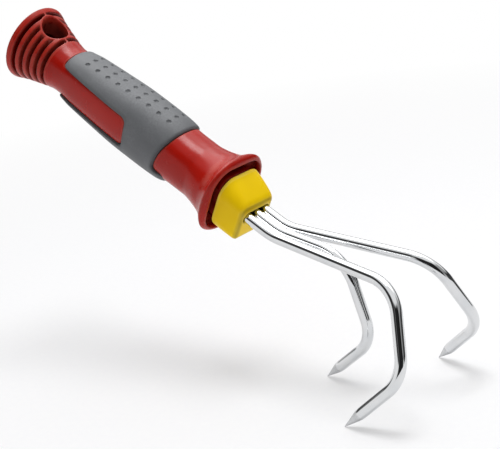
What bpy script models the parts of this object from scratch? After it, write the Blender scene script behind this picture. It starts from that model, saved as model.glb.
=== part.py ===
"""Three-tined hand cultivator: a moulded handle with a soft grip, a tine holder and three steel tines.

The tool is drawn in its own frame: +X runs along the handle towards the tines, from the plane of the
collar's rim, +Y is to the left and +Z is away from the points. An empty then pitches it into its working
pose, with the three points on the ground.
"""

import math

import bmesh
import bpy
import numpy as np
from mathutils import Matrix, Vector

MM = 0.001
GAP = 0.3 * MM

# Handle: places along the axis, counted back from the rim of the collar
HANDLE_LENGTH = 134.4 * MM
AROUND = 40

# Collar: a flared guard with a hollow square mouth, in which a tube stands round the socket
LIP_HALF_WIDTH = 19.65 * MM
LIP_HALF_HEIGHT = 19.25 * MM
LIP_SQUARENESS = 2.5
LIP_FRONT = 1.15 * MM
LIP_CHAMFER = 1.75 * MM
LIP_TILT = 0.02
MOUTH_DEPTH = 7.0 * MM
TUBE_HALF_WIDTH = 10.3 * MM
TUBE_HALF_HEIGHT = 11.4 * MM
TUBE_CORNER = 5.0 * MM

# Hanging end: a cone with fins, a boss for the hanging hole and a web on the centre plane
HANGING_END_HALF_WIDTH = 18.7 * MM
HANGING_END_HALF_HEIGHT = 19.7 * MM
END_EDGE_ROUND = 0.7 * MM
FIN_PITCH = 4.0 * MM
GROOVE_COUNT = 5
GROOVE_WIDTH = 1.9 * MM
FIRST_GROOVE = 114.6 * MM
CORE_RADIUS = 9.4 * MM
HANGING_HOLE_PLACE = 123.0 * MM
HANGING_HOLE_RADIUS = 6.4 * MM
BOSS_WALL = 1.3 * MM
WEB_THICKNESS = 1.2 * MM

# Soft grip: how far it stands proud of the handle, how deep it is let in, and where it ends
GRIP_PROUD = 1.2 * MM
GRIP_DEPTH = 1.7 * MM
GRIP_FRONT = 31.6 * MM
GRIP_REAR = 104.4 * MM
GRIP_RAKE = -0.03
GRIP_FRONT_ROUND = 5.0 * MM
GRIP_REAR_ROUND = 1.6 * MM

# Window on each side of the grip, open at its rear end
WINDOW_FRONT = 55.0 * MM
WINDOW_TOP = 6.9 * MM
WINDOW_BOTTOM = -7.9 * MM
WINDOW_RISE = 0.6 * MM
WINDOW_CORNER = 3.0 * MM
PAD_CORNER = 1.8 * MM

# Scallop in the front edge of the grip, on each side
SCALLOP_REAR = 38.0 * MM
SCALLOP_TOP = 13.0 * MM
SCALLOP_KNEE = 1.6 * MM
SCALLOP_BOTTOM = -7.4 * MM
SCALLOP_ROUND = 2.6 * MM

# Tines: round bar, side by side where they leave the holder
TINE_RADIUS = 2.5 * MM
TINE_PITCH = 5.7 * MM
TINE_PLANE = -0.7 * MM
SHANK_REAR = -26.0 * MM
FIRST_BEND = 30.0 * MM
POINT_LENGTH = 9.0 * MM
POINT_BLUNTNESS = 0.04
BEND_RADII = (25.0 * MM, 18.5 * MM, 15.0 * MM)
MIDDLE_KNEE_RADIUS = 21.0 * MM
BEND_STEP = math.radians(7)

# Legs of a tine after its first bend: length, heading in plan (outwards) and rise
OUTER_LEGS = (
    (70.7 * MM, math.radians(7.4), math.radians(21.6)),
    (37.1 * MM, math.radians(30.5), math.radians(-38.9)),
    (37.2 * MM, math.radians(151.7), math.radians(-68.6)),
)
MIDDLE_LEGS = (
    (34.9 * MM, 0.0, math.radians(18.6)),
    (38.9 * MM, 0.0, math.radians(-45.8)),
    (36.1 * MM, math.radians(180), math.radians(-68.6)),
)

# Tine holder: a head with a sloping top, and a tang in the handle's socket
SLOT_CLEARANCE = 0.25 * MM
HEAD_REAR = 2.0 * MM
HEAD_FRONT = 15.6 * MM
HEAD_HALF_WIDTHS = (13.4 * MM, 10.6 * MM)
HEAD_TOPS = (13.0 * MM, 5.4 * MM)
HEAD_BOTTOMS = (-13.5 * MM, -13.0 * MM)
HEAD_CORNERS = (8.4 * MM, 3.0 * MM)
HEAD_BULGE = 0.3 * MM
HEAD_EDGE_ROUND = 2.4 * MM
HEAD_CHIN_ROUND = 3.2 * MM
TANG_REAR = -30.0 * MM
TANG_HALF_WIDTH = 9.15 * MM
TANG_HALF_HEIGHT = 6.0 * MM
TANG_CORNER = 2.5 * MM


def outline_stations():
    """Handle sections: place behind the rim, half width, half height and squareness (2 is an ellipse)."""
    return (
        (HANDLE_LENGTH, HANGING_END_HALF_WIDTH, HANGING_END_HALF_HEIGHT, 2.0),
        (128 * MM, 16.5 * MM, 17.2 * MM, 2.0),
        (122 * MM, 14.9 * MM, 15.3 * MM, 2.0),
        (112 * MM, 12.4 * MM, 12.6 * MM, 2.0),
        (108.5 * MM, 11.7 * MM, 11.9 * MM, 2.1),
        (GRIP_REAR, 11.5 * MM, 11.7 * MM, 2.2),
        (96 * MM, 12.0 * MM, 12.6 * MM, 2.4),
        (80 * MM, 12.8 * MM, 13.7 * MM, 2.4),
        (67 * MM, 13.2 * MM, 14.5 * MM, 2.4),
        (50 * MM, 13.1 * MM, 15.3 * MM, 2.2),
        (40 * MM, 12.9 * MM, 15.0 * MM, 2.2),
        (31 * MM, 12.8 * MM, 13.6 * MM, 2.3),
        (24 * MM, 12.9 * MM, 13.3 * MM, 2.3),
        (18.5 * MM, 13.0 * MM, 13.5 * MM, 2.2),
        (14.5 * MM, 13.9 * MM, 14.1 * MM, 2.1),
        (10.5 * MM, 15.1 * MM, 15.1 * MM, 2.0),
        (7 * MM, 15.9 * MM, 15.9 * MM, 2.1),
        (4 * MM, 17.45 * MM, 17.35 * MM, 2.15),
        (1.5 * MM, 19.3 * MM, 19.05 * MM, 2.35),
    )


def smooth_curve(knots, values, x):
    """Value at x of a monotone cubic through the knots, which keeps long tapers free of bumps."""
    order = np.argsort(knots)
    xs = np.asarray(knots, float)[order]
    ys = np.asarray(values, float)[order]
    steps = np.diff(xs)
    slopes = np.diff(ys) / steps
    tangents = np.zeros(len(xs))
    tangents[0] = slopes[0]
    tangents[-1] = slopes[-1]
    for i in range(1, len(xs) - 1):
        if slopes[i - 1] * slopes[i] > 0:
            before = 2 * steps[i] + steps[i - 1]
            after = steps[i] + 2 * steps[i - 1]
            tangents[i] = (before + after) / (before / slopes[i - 1] + after / slopes[i])
    i = int(np.clip(np.searchsorted(xs, x) - 1, 0, len(steps) - 1))
    t = (x - xs[i]) / steps[i]
    start = (1 + 2 * t) * (1 - t) ** 2 * ys[i] + t * (1 - t) ** 2 * steps[i] * tangents[i]
    end = t * t * (3 - 2 * t) * ys[i + 1] + t * t * (t - 1) * steps[i] * tangents[i + 1]
    return start + end


def handle_section(back):
    """Half width, half height and squareness of the red handle at a distance behind the rim."""
    stations = outline_stations()
    knots = [station[0] for station in stations]
    return tuple(smooth_curve(knots, [station[k] for station in stations], back) for k in (1, 2, 3))


def oval_ring(x, half_width, half_height, squareness, count=AROUND):
    """Points of a superellipse across the axis, counter-clockwise seen from +X."""
    points = []
    for i in range(count):
        angle = 2 * math.pi * i / count
        across = math.copysign(abs(math.cos(angle)) ** (2 / squareness), math.cos(angle))
        up = math.copysign(abs(math.sin(angle)) ** (2 / squareness), math.sin(angle))
        points.append(Vector((x, half_width * across, half_height * up)))
    return points


def rounded_rectangle(half_width, bottom, top, corner, corner_steps=5):
    """Outline (across, up) of a rectangle with round corners, counter-clockwise."""
    centres = (
        (half_width - corner, top - corner),
        (-half_width + corner, top - corner),
        (-half_width + corner, bottom + corner),
        (half_width - corner, bottom + corner),
    )
    outline = []
    for quarter, (across, up) in enumerate(centres):
        for step in range(corner_steps + 1):
            angle = math.pi / 2 * (quarter + step / corner_steps)
            outline.append((across + corner * math.cos(angle), up + corner * math.sin(angle)))
    return outline


def round_corners(points, radii, steps=6):
    """Outline through the points, with each corner turned into an arc of its radius (0 keeps it sharp)."""
    outline = []
    count = len(points)
    for i, corner in enumerate(points):
        here = Vector(corner)
        to_last = (Vector(points[i - 1]) - here).normalized()
        to_next = (Vector(points[(i + 1) % count]) - here).normalized()
        if radii[i] == 0:
            outline.append(tuple(here))
            continue
        half = to_last.angle(to_next) / 2
        centre = here + (to_last + to_next).normalized() * (radii[i] / math.sin(half))
        first = here + to_last * (radii[i] / math.tan(half)) - centre
        last = here + to_next * (radii[i] / math.tan(half)) - centre
        turn = math.pi - 2 * half
        for step in range(steps + 1):
            t = step / steps
            arm = (first * math.sin((1 - t) * turn) + last * math.sin(t * turn)) / math.sin(turn)
            outline.append(tuple(centre + arm))
    return outline


def new_object(name, mesh, collection, pose):
    """Link a mesh as an object that follows the tool's frame."""
    piece = bpy.data.objects.new(name, mesh)
    collection.objects.link(piece)
    piece.parent = pose
    return piece


def loft(name, rings, collection, pose):
    """Closed solid through rings of equal count, given from rear to front."""
    bm = bmesh.new()
    loops = [[bm.verts.new(point) for point in ring] for ring in rings]
    count = len(loops[0])
    for rear, front in zip(loops, loops[1:]):
        for i in range(count):
            j = (i + 1) % count
            bm.faces.new((rear[i], rear[j], front[j], front[i]))
    bm.faces.new(list(reversed(loops[0])))
    bm.faces.new(loops[-1])
    bmesh.ops.recalc_face_normals(bm, faces=bm.faces)
    mesh = bpy.data.meshes.new(name)
    bm.to_mesh(mesh)
    bm.free()
    return new_object(name, mesh, collection, pose)


def prism(name, outline, depth, placement, collection, pose):
    """Flat outline extruded by half the depth to each side of its plane, then placed."""
    curve = bpy.data.curves.new(name, "CURVE")
    curve.dimensions = "2D"
    curve.fill_mode = "BOTH"
    curve.extrude = depth / 2
    spline = curve.splines.new("POLY")
    spline.points.add(len(outline) - 1)
    for point, place in zip(spline.points, outline):
        point.co = (place[0], place[1], 0, 1)
    spline.use_cyclic_u = True
    drawn = bpy.data.objects.new(name + "_outline", curve)
    collection.objects.link(drawn)
    evaluated = drawn.evaluated_get(bpy.context.evaluated_depsgraph_get())
    mesh = bpy.data.meshes.new_from_object(evaluated)
    mesh.name = name
    bpy.data.objects.remove(drawn)
    bpy.data.curves.remove(curve)
    bm = bmesh.new()
    bm.from_mesh(mesh)
    bmesh.ops.remove_doubles(bm, verts=bm.verts, dist=0.001 * MM)
    bmesh.ops.recalc_face_normals(bm, faces=bm.faces)
    bm.to_mesh(mesh)
    bm.free()
    mesh.transform(placement)
    return new_object(name, mesh, collection, pose)


def across_axis(x):
    """Placement that stands an outline (across, up) at x, square to the handle's axis."""
    turn = Matrix(((0, 0, 1, 0), (1, 0, 0, 0), (0, 1, 0, 0), (0, 0, 0, 1)))
    return Matrix.Translation((x, 0, 0)) @ turn


def side_view():
    """Placement that lays an outline (along, up) in the tool's plane of symmetry."""
    return Matrix(((1, 0, 0, 0), (0, 0, -1, 0), (0, 1, 0, 0), (0, 0, 0, 1)))


def turned(name, loops, collection, pose):
    """Closed profiles (radius, along) turned about the handle's axis. Each runs down its outer side.

    They start half a step round, so that no edge of theirs lies on an edge of the handle.
    """
    bm = bmesh.new()
    for loop in loops:
        ring = [bm.verts.new((radius, 0, along)) for radius, along in loop]
        for a, b in zip(ring, ring[1:] + ring[:1]):
            bm.edges.new((a, b))
    mesh = bpy.data.meshes.new(name)
    bm.to_mesh(mesh)
    bm.free()
    mesh.transform(Matrix.Rotation(math.pi / AROUND, 4, "Z"))
    piece = new_object(name, mesh, collection, pose)
    piece.rotation_euler = (0, math.pi / 2, 0)
    screw = piece.modifiers.new("turn", "SCREW")
    screw.angle = 2 * math.pi
    screw.steps = AROUND
    screw.render_steps = AROUND
    screw.use_merge_vertices = True
    screw.merge_threshold = 0.001 * MM
    return piece


def cylinder(name, radius, length, collection, pose, sides=40):
    """Upright cylinder, which may be moved afterwards. No edge of its wall lies on the tool's planes."""
    bpy.ops.mesh.primitive_cylinder_add(vertices=sides, radius=radius, depth=length)
    piece = bpy.context.active_object
    piece.data.transform(Matrix.Rotation(math.pi / sides, 4, "Z"))
    return adopt(piece, name, collection, pose)


def box(name, size, collection, pose):
    """Box of full size (along, across, up), centred on its origin."""
    bpy.ops.mesh.primitive_cube_add(size=1)
    piece = bpy.context.active_object
    piece.data.transform(Matrix.Diagonal((*size, 1)))
    return adopt(piece, name, collection, pose)


def adopt(piece, name, collection, pose):
    """Name a primitive, move it to the collection and let it follow the tool's frame."""
    piece.name = name
    piece.data.name = name
    for old in list(piece.users_collection):
        old.objects.unlink(piece)
    collection.objects.link(piece)
    piece.parent = pose
    return piece


def combine(piece, other, operation):
    """Add a Boolean step to a piece."""
    step = piece.modifiers.new(operation.lower() + " " + other.name, "BOOLEAN")
    step.operation = operation
    step.object = other
    step.solver = "EXACT"
    return step


def material(name, colour, roughness, metallic=0.0):
    """Plain surface of one colour."""
    surface = bpy.data.materials.new(name)
    surface.use_nodes = True
    shader = surface.node_tree.nodes["Principled BSDF"]
    shader.inputs["Base Color"].default_value = (*colour, 1)
    shader.inputs["Roughness"].default_value = roughness
    shader.inputs["Metallic"].default_value = metallic
    return surface


def shade(piece, surface, crease=math.radians(32)):
    """Give a piece its material and smooth shading between sharp edges."""
    piece.data.materials.append(surface)
    piece.data.shade_smooth()
    piece.data.set_sharp_from_angle(angle=crease)


def handle_rings():
    """Sections of the whole red handle, from the hanging end to the front of the collar's lip."""
    rings = []
    for step in range(4):
        angle = math.pi / 2 * step / 3
        inset = END_EDGE_ROUND * (1 - math.sin(angle))
        x = -HANDLE_LENGTH + END_EDGE_ROUND * (1 - math.cos(angle))
        rings.append(oval_ring(x, HANGING_END_HALF_WIDTH - inset, HANGING_END_HALF_HEIGHT - inset, 2))
    for back in handle_places(HANDLE_LENGTH - 3 * END_EDGE_ROUND, 1.5 * MM):
        rings.append(oval_ring(-back, *handle_section(back)))
    ridge = LIP_FRONT - LIP_CHAMFER
    profile = ((-1.5 * MM, -0.3 * MM), (ridge, 0), (LIP_FRONT, -LIP_CHAMFER), (LIP_FRONT, -5 * MM))
    for x, stand in round_corners(profile, (0, 1.0 * MM, 0.8 * MM, 0), 3)[1:-1]:
        rings.append(oval_ring(x, LIP_HALF_WIDTH + stand, LIP_HALF_HEIGHT + stand, LIP_SQUARENESS))
    return tilted(rings)


def tilted(rings):
    """Sections of the collar, tilted a little so that its rim leans back at the top."""
    for ring in rings:
        for point in ring:
            point.x -= LIP_TILT * point.z * min(max(point.x / (10 * MM) + 1.2, 0.0), 1.0)
    return rings


def mouth_rings():
    """Sections of the collar's mouth, a square with large round corners that narrows inwards."""
    rings = []
    for x, half, corner in ((-7.0, 12.6, 8.0), (-3.5, 14.8, 9.6), (0.55, 15.9, 10.2), (1.35, 16.25, 10.5)):
        outline = rounded_rectangle(half * MM, -half * MM, half * MM, corner * MM, 8)
        rings.append([Vector((x * MM, across, up)) for across, up in outline])
    return tilted(rings)


def handle_places(rear, front):
    """Places for the handle's sections: close together where it flares, further apart along the grip."""
    places = [rear]
    while places[-1] > front:
        here = places[-1]
        flaring = here < 19 * MM
        waist = 97 * MM < here < 112 * MM
        if flaring:
            step = 1.8 * MM
        elif waist:
            step = 2.5 * MM
        else:
            step = 6.0 * MM
        places.append(max(here - step, front))
    return places


def sleeve_rings(offset, rear, front, step=5.0 * MM):
    """Sections that follow the handle at an offset from its surface."""
    count = max(2, round((rear - front) / step))
    rings = []
    for i in range(count + 1):
        back = rear + (front - rear) * i / count
        half_width, half_height, squareness = handle_section(back)
        rings.append(oval_ring(-back, half_width + offset, half_height + offset, squareness))
    return rings


def grip_rings():
    """Outer sections of the grip, which rounds down towards both of its ends."""
    rear = GRIP_REAR
    front = GRIP_FRONT
    quarter = math.pi / 2
    rear_places = [rear - GRIP_REAR_ROUND * (1 - math.cos(quarter * k / 3)) for k in range(4)]
    front_places = [front + GRIP_FRONT_ROUND * (1 - math.cos(quarter * k / 4)) for k in range(4, -1, -1)]
    middle = np.linspace(rear_places[-1], front_places[0], 15)[1:-1]
    rings = []
    for back in [*rear_places, *middle, *front_places]:
        into_rear = max(0.0, 1 - (rear - back) / GRIP_REAR_ROUND)
        into_front = max(0.0, 1 - (back - front) / GRIP_FRONT_ROUND)
        proud = GRIP_PROUD * (0.15 + 0.85 * math.sqrt(max(0.0, 1 - max(into_rear, into_front) ** 2)))
        half_width, half_height, squareness = handle_section(back)
        ring = oval_ring(-back, half_width + proud, half_height + proud, squareness)
        rake = GRIP_RAKE * max(0.0, 1 - (back - front) / (20 * MM))
        rings.append([Vector((point.x - rake * point.z, point.y, point.z)) for point in ring])
    return rings


def window_outline(inset):
    """Side window of the grip (along, up), open towards the rear, made smaller by an inset."""
    rear = -GRIP_REAR - 4 * MM
    top = WINDOW_TOP - inset
    bottom = WINDOW_BOTTOM + inset
    front = -WINDOW_FRONT - inset
    shoulder = -GRIP_REAR + PAD_CORNER
    points = (
        (front - 1.5 * MM, bottom),
        (front, 0),
        (front - 2.0 * MM, top),
        (shoulder, top + WINDOW_RISE),
        (-GRIP_REAR - inset, top + WINDOW_RISE + PAD_CORNER),
        (rear, top + WINDOW_RISE + PAD_CORNER),
        (rear, bottom - PAD_CORNER),
        (-GRIP_REAR - inset, bottom + WINDOW_RISE / 3 - PAD_CORNER),
        (shoulder, bottom + WINDOW_RISE / 3),
    )
    corner = WINDOW_CORNER
    pad = PAD_CORNER
    return round_corners(points, (corner, 3 * corner, corner, pad, 0, 0, 0, 0, pad))


def scallop_outline(inset):
    """Scallop in the grip's front edge (along, up), open towards the front, made smaller by an inset."""
    front = -GRIP_FRONT + 4 * MM
    rear = -SCALLOP_REAR + inset
    top = SCALLOP_TOP - inset
    bottom = SCALLOP_BOTTOM + inset
    points = (
        (front, top + 1.5 * MM),
        (-GRIP_FRONT, top),
        (rear, SCALLOP_KNEE),
        (rear, bottom),
        (front, bottom),
    )
    return round_corners(points, (0, 2.0 * MM, 6.0 * MM, SCALLOP_ROUND, 0))


def make_handle(parts, cutters, pose, surface):
    """Red handle: lofted body, finned hanging end, let-in bed for the grip, hollow collar and socket."""
    handle = loft("handle_body", handle_rings(), parts, pose)

    grooves = []
    for i in range(GROOVE_COUNT):
        along = -FIRST_GROOVE - i * FIN_PITCH
        outer = HANGING_END_HALF_HEIGHT + 3 * MM
        rear = along - GROOVE_WIDTH / 2
        front = along + GROOVE_WIDTH / 2
        grooves.append(((outer, front), (outer, rear), (CORE_RADIUS, rear), (CORE_RADIUS, front)))
    groove_cutter = turned("groove_cutter", grooves, cutters, pose)
    boss = cylinder("boss_keeper", HANGING_HOLE_RADIUS + BOSS_WALL, 60 * MM, cutters, pose)
    boss.location.x = -HANGING_HOLE_PLACE
    web = box("web_keeper", (40 * MM, WEB_THICKNESS, 60 * MM), cutters, pose)
    web.location.x = -HANGING_HOLE_PLACE
    combine(groove_cutter, boss, "DIFFERENCE")
    combine(groove_cutter, web, "DIFFERENCE")
    combine(handle, groove_cutter, "DIFFERENCE")

    hole = cylinder("hanging_hole_cutter", HANGING_HOLE_RADIUS, 60 * MM, cutters, pose)
    hole.location.x = -HANGING_HOLE_PLACE
    combine(handle, hole, "DIFFERENCE")

    bed = loft("grip_bed_cutter", bed_rings(), cutters, pose)
    core_rings = sleeve_rings(-GRIP_DEPTH - GAP, GRIP_REAR + 4 * MM, GRIP_FRONT - 4 * MM)
    core = loft("grip_bed_core", core_rings, cutters, pose)
    combine(bed, core, "DIFFERENCE")
    for name, outline in (("window_keeper", window_outline(GAP)), ("scallop_keeper", scallop_outline(GAP))):
        combine(bed, prism(name, outline, 60 * MM, side_view(), cutters, pose), "DIFFERENCE")
    combine(handle, bed, "DIFFERENCE")

    mouth_cutter = loft("mouth_cutter", mouth_rings(), cutters, pose)
    tube = prism("socket_tube_keeper", tube_outline(), 30 * MM, across_axis(0), cutters, pose)
    combine(mouth_cutter, tube, "DIFFERENCE")
    combine(handle, mouth_cutter, "DIFFERENCE")

    socket_depth = GAP - TANG_REAR
    socket = prism(
        "socket_cutter",
        rounded_rectangle(
            TANG_HALF_WIDTH + SLOT_CLEARANCE,
            TINE_PLANE - TANG_HALF_HEIGHT - SLOT_CLEARANCE,
            TINE_PLANE + TANG_HALF_HEIGHT + SLOT_CLEARANCE,
            TANG_CORNER,
        ),
        2 * socket_depth,
        across_axis(0),
        cutters,
        pose,
    )
    combine(handle, socket, "DIFFERENCE")
    shade(handle, surface)
    return handle


def tube_outline():
    """Outline of the tube round the socket, which is also that of the seat behind the holder's head."""
    return rounded_rectangle(TUBE_HALF_WIDTH, -TUBE_HALF_HEIGHT, TUBE_HALF_HEIGHT, TUBE_CORNER)


def bed_rings():
    """Plain round sleeve round the length of handle that the grip covers."""
    radius = HANGING_END_HALF_HEIGHT + 3 * MM
    rear = oval_ring(-GRIP_REAR - GAP, radius, radius, 2)
    front = oval_ring(-GRIP_FRONT + GAP, radius, radius, 2)
    return [rear, [Vector((point.x - GRIP_RAKE * point.z, point.y, point.z)) for point in front]]


def make_grip(parts, cutters, pose, surface):
    """Soft grip: a sleeve over the handle's bed, with the side windows and the scallops cut through."""
    grip = loft("grip_overmould", grip_rings(), parts, pose)
    inside_rings = sleeve_rings(-GRIP_DEPTH, GRIP_REAR + 4 * MM, GRIP_FRONT - 4 * MM)
    inside = loft("grip_inside_cutter", inside_rings, cutters, pose)
    combine(grip, inside, "DIFFERENCE")
    for name, outline in (("window_cutter", window_outline(0)), ("scallop_cutter", scallop_outline(0))):
        combine(grip, prism(name, outline, 60 * MM, side_view(), cutters, pose), "DIFFERENCE")
    shade(grip, surface)
    return grip


def quarter_round(into, radius):
    """Inset of a round edge at a depth into it, from 0 at its start to its radius at its end."""
    depth = min(max(into, 0.0), radius)
    return radius - math.sqrt(radius ** 2 - depth ** 2)


def head_rings():
    """Sections of the holder's head: it slopes down on top, narrows and grows squarer to the front."""
    places = [HEAD_REAR, HEAD_REAR + 0.4 * MM, 4 * MM, 6 * MM, 8 * MM, 10 * MM, 12 * MM, 12.8 * MM]
    places += [HEAD_FRONT - HEAD_EDGE_ROUND * (1 - math.sin(math.pi / 2 * k / 5)) for k in range(6)]
    rings = []
    for x in places:
        run = (x - HEAD_REAR) / (HEAD_FRONT - HEAD_REAR)
        ends = (HEAD_HALF_WIDTHS, HEAD_TOPS, HEAD_BOTTOMS, HEAD_CORNERS)
        half_width, top, bottom, corner = (rear + (front - rear) * run for rear, front in ends)
        bulge = HEAD_BULGE * (1 - (2 * run - 1) ** 2)
        inset = quarter_round(x - HEAD_FRONT + HEAD_EDGE_ROUND, HEAD_EDGE_ROUND)
        inset += max(0.0, 0.4 * MM - (x - HEAD_REAR)) * 0.6
        chin = quarter_round(x - HEAD_FRONT + HEAD_CHIN_ROUND, HEAD_CHIN_ROUND)
        outline = rounded_rectangle(
            half_width + bulge - inset, bottom + chin, top + bulge - inset, corner - 0.5 * inset, 6
        )
        rings.append([Vector((x, across, up)) for across, up in outline])
    return rings


def make_holder(parts, cutters, pose, surface):
    """Yellow holder: head, seat and tang in one, with a flat slot for the three shanks side by side."""
    holder = loft("tine_holder", head_rings(), parts, pose)
    tang = prism(
        "tang",
        rounded_rectangle(
            TANG_HALF_WIDTH, TINE_PLANE - TANG_HALF_HEIGHT, TINE_PLANE + TANG_HALF_HEIGHT, TANG_CORNER
        ),
        HEAD_REAR + 2 * MM - TANG_REAR,
        across_axis((HEAD_REAR + 2 * MM + TANG_REAR) / 2),
        cutters,
        pose,
    )
    combine(holder, tang, "UNION")
    seat_rear = LIP_FRONT + LIP_TILT * TUBE_HALF_HEIGHT + GAP
    seat_front = HEAD_REAR + 1 * MM
    placement = across_axis((seat_rear + seat_front) / 2)
    seat = prism("head_seat", tube_outline(), seat_front - seat_rear, placement, cutters, pose)
    combine(holder, seat, "UNION")
    half_height = TINE_RADIUS + SLOT_CLEARANCE
    slot_rear = SHANK_REAR - GAP
    slot_front = HEAD_FRONT + 3 * MM
    slot = prism(
        "slot_cutter",
        rounded_rectangle(
            TINE_PITCH + half_height,
            TINE_PLANE - half_height,
            TINE_PLANE + half_height,
            half_height * 0.999,
        ),
        slot_front - slot_rear,
        across_axis((slot_front + slot_rear) / 2),
        cutters,
        pose,
    )
    combine(holder, slot, "DIFFERENCE")
    shade(holder, surface)
    return holder


def leg_vector(leg):
    """Vector of a tine's leg from its length, heading and rise."""
    length, heading, rise = leg
    flat = length * math.cos(rise)
    return Vector((flat * math.cos(heading), flat * math.sin(heading), length * math.sin(rise)))


def tine_path(side, legs, radii):
    """Centreline of a tine: a straight shank, then legs joined by arcs, up to the base of the point."""
    corners = [Vector((SHANK_REAR, TINE_PITCH, TINE_PLANE)), Vector((FIRST_BEND, TINE_PITCH, TINE_PLANE))]
    if side == 0:
        corners = [Vector((corner.x, 0, corner.z)) for corner in corners]
    for leg in legs:
        corners.append(corners[-1] + leg_vector(leg))
    path = [corners[0]]
    for i, radius in enumerate(radii, start=1):
        path += bend(corners[i - 1], corners[i], corners[i + 1], radius)
    last = (corners[-1] - corners[-2]).normalized()
    path.append(corners[-1] - last * POINT_LENGTH)
    path.append(corners[-1])
    if side < 0:
        path = [Vector((point.x, -point.y, point.z)) for point in path]
    return path


def bend(before, corner, after, radius):
    """Points of the arc that rounds a corner of the path."""
    to_before = (before - corner).normalized()
    to_after = (after - corner).normalized()
    half = to_before.angle(to_after) / 2
    centre = corner + (to_before + to_after).normalized() * (radius / math.sin(half))
    first = corner + to_before * (radius / math.tan(half)) - centre
    last = corner + to_after * (radius / math.tan(half)) - centre
    turn = math.pi - 2 * half
    steps = max(3, round(turn / BEND_STEP))
    arc = []
    for k in range(steps + 1):
        t = k / steps
        arm = (first * math.sin((1 - t) * turn) + last * math.sin(t * turn)) / math.sin(turn)
        arc.append(centre + arm)
    return arc


def make_tine(name, path, parts, pose, surface):
    """Round bar along a path, ground to a conical point."""
    curve = bpy.data.curves.new(name, "CURVE")
    curve.dimensions = "3D"
    curve.bevel_depth = TINE_RADIUS
    curve.bevel_resolution = 6
    curve.use_fill_caps = True
    spline = curve.splines.new("POLY")
    spline.points.add(len(path) - 1)
    for point, place in zip(spline.points, path):
        point.co = (*place, 1)
    spline.points[-1].radius = POINT_BLUNTNESS
    spline.use_smooth = True
    curve.materials.append(surface)
    return new_object(name, curve, parts, pose)


def pitch_to_ground(outer_tip, middle_tip):
    """Angle about Y that brings the outer points and the middle point to one level."""
    return math.atan2(outer_tip.z - middle_tip.z, outer_tip.x - middle_tip.x)


def stand_on_points(pose, pieces, pitch):
    """Pitch the tool into its working pose, with its box centred over the origin and standing on z = 0."""
    pose.rotation_euler = (0, pitch, 0)
    bpy.context.view_layer.update()
    depsgraph = bpy.context.evaluated_depsgraph_get()
    corners = []
    for piece in pieces:
        evaluated = piece.evaluated_get(depsgraph)
        mesh = evaluated.to_mesh()
        corners += [evaluated.matrix_world @ vertex.co for vertex in mesh.vertices]
        evaluated.to_mesh_clear()
    low = [min(corner[k] for corner in corners) for k in range(3)]
    high = [max(corner[k] for corner in corners) for k in range(3)]
    pose.location = (-(low[0] + high[0]) / 2, 0, -low[2])
    bpy.context.view_layer.update()


def build():
    """Draw the whole cultivator in a cleared file."""
    for old in list(bpy.data.objects):
        bpy.data.objects.remove(old)
    parts = bpy.data.collections.new("garden_cultivator")
    cutters = bpy.data.collections.new("cutters")
    bpy.context.scene.collection.children.link(parts)
    bpy.context.scene.collection.children.link(cutters)
    pose = bpy.data.objects.new("working_pose", None)
    parts.objects.link(pose)

    red = material("red_moulding", (0.40, 0.030, 0.018), 0.38)
    grey = material("grey_soft_moulding", (0.105, 0.108, 0.115), 0.62)
    yellow = material("yellow_moulding", (0.70, 0.47, 0.010), 0.35)
    steel = material("bright_steel", (0.80, 0.80, 0.82), 0.12, 1.0)

    outer = tine_path(1, OUTER_LEGS, BEND_RADII)
    middle_radii = (BEND_RADII[0], MIDDLE_KNEE_RADIUS, BEND_RADII[2])
    middle = tine_path(0, MIDDLE_LEGS, middle_radii)
    pieces = [
        make_handle(parts, cutters, pose, red),
        make_grip(parts, cutters, pose, grey),
        make_holder(parts, cutters, pose, yellow),
        make_tine("tine_left", outer, parts, pose, steel),
        make_tine("tine_middle", middle, parts, pose, steel),
        make_tine("tine_right", tine_path(-1, OUTER_LEGS, BEND_RADII), parts, pose, steel),
    ]
    for cutter in cutters.objects:
        cutter.hide_render = True
        cutter.display_type = "WIRE"
    stand_on_points(pose, pieces, pitch_to_ground(outer[-1], middle[-1]))


build()
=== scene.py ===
"""Studio scene of a three-tined hand cultivator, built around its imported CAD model.

Sizes are in metres. Shapes are drawn in the tool's own frame: +X runs along the handle towards the tines
from the plane of the collar's rim, +Y is to the left and +Z is away from the points. Each finished mesh is
then pitched into the working pose in which the CAD model stands, with its three points on the ground.
"""

import functools
import math

import bmesh
import bpy
import numpy as np
from mathutils import Matrix, Vector


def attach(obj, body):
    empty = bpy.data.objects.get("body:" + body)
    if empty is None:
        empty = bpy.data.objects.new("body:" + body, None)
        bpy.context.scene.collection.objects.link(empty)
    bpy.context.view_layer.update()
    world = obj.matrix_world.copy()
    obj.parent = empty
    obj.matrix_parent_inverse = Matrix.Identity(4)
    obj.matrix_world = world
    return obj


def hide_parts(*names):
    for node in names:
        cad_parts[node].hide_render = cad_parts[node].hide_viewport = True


bl_info = {
    "name": "Garden Cultivator",
    "version": (1, 0, 0),
    "blender": (4, 5, 0),
    "location": "3D View > Sidebar > Cultivator",
    "description": "Builds a three-tined hand cultivator with a soft grip, and a plain studio for it",
    "category": "Add Mesh",
}

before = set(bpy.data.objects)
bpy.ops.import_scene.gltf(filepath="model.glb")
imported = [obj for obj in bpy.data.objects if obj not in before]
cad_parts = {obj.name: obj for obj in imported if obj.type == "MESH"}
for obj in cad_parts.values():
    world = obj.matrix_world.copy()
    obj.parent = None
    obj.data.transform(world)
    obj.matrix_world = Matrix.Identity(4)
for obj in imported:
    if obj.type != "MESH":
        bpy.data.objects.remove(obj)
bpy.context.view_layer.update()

MM = 0.001

# Gap that stands for a moulded or pressed joint, and the finer one between the grip and its bed
GAP = 0.3 * MM
BED_GAP = 0.2 * MM

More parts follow.
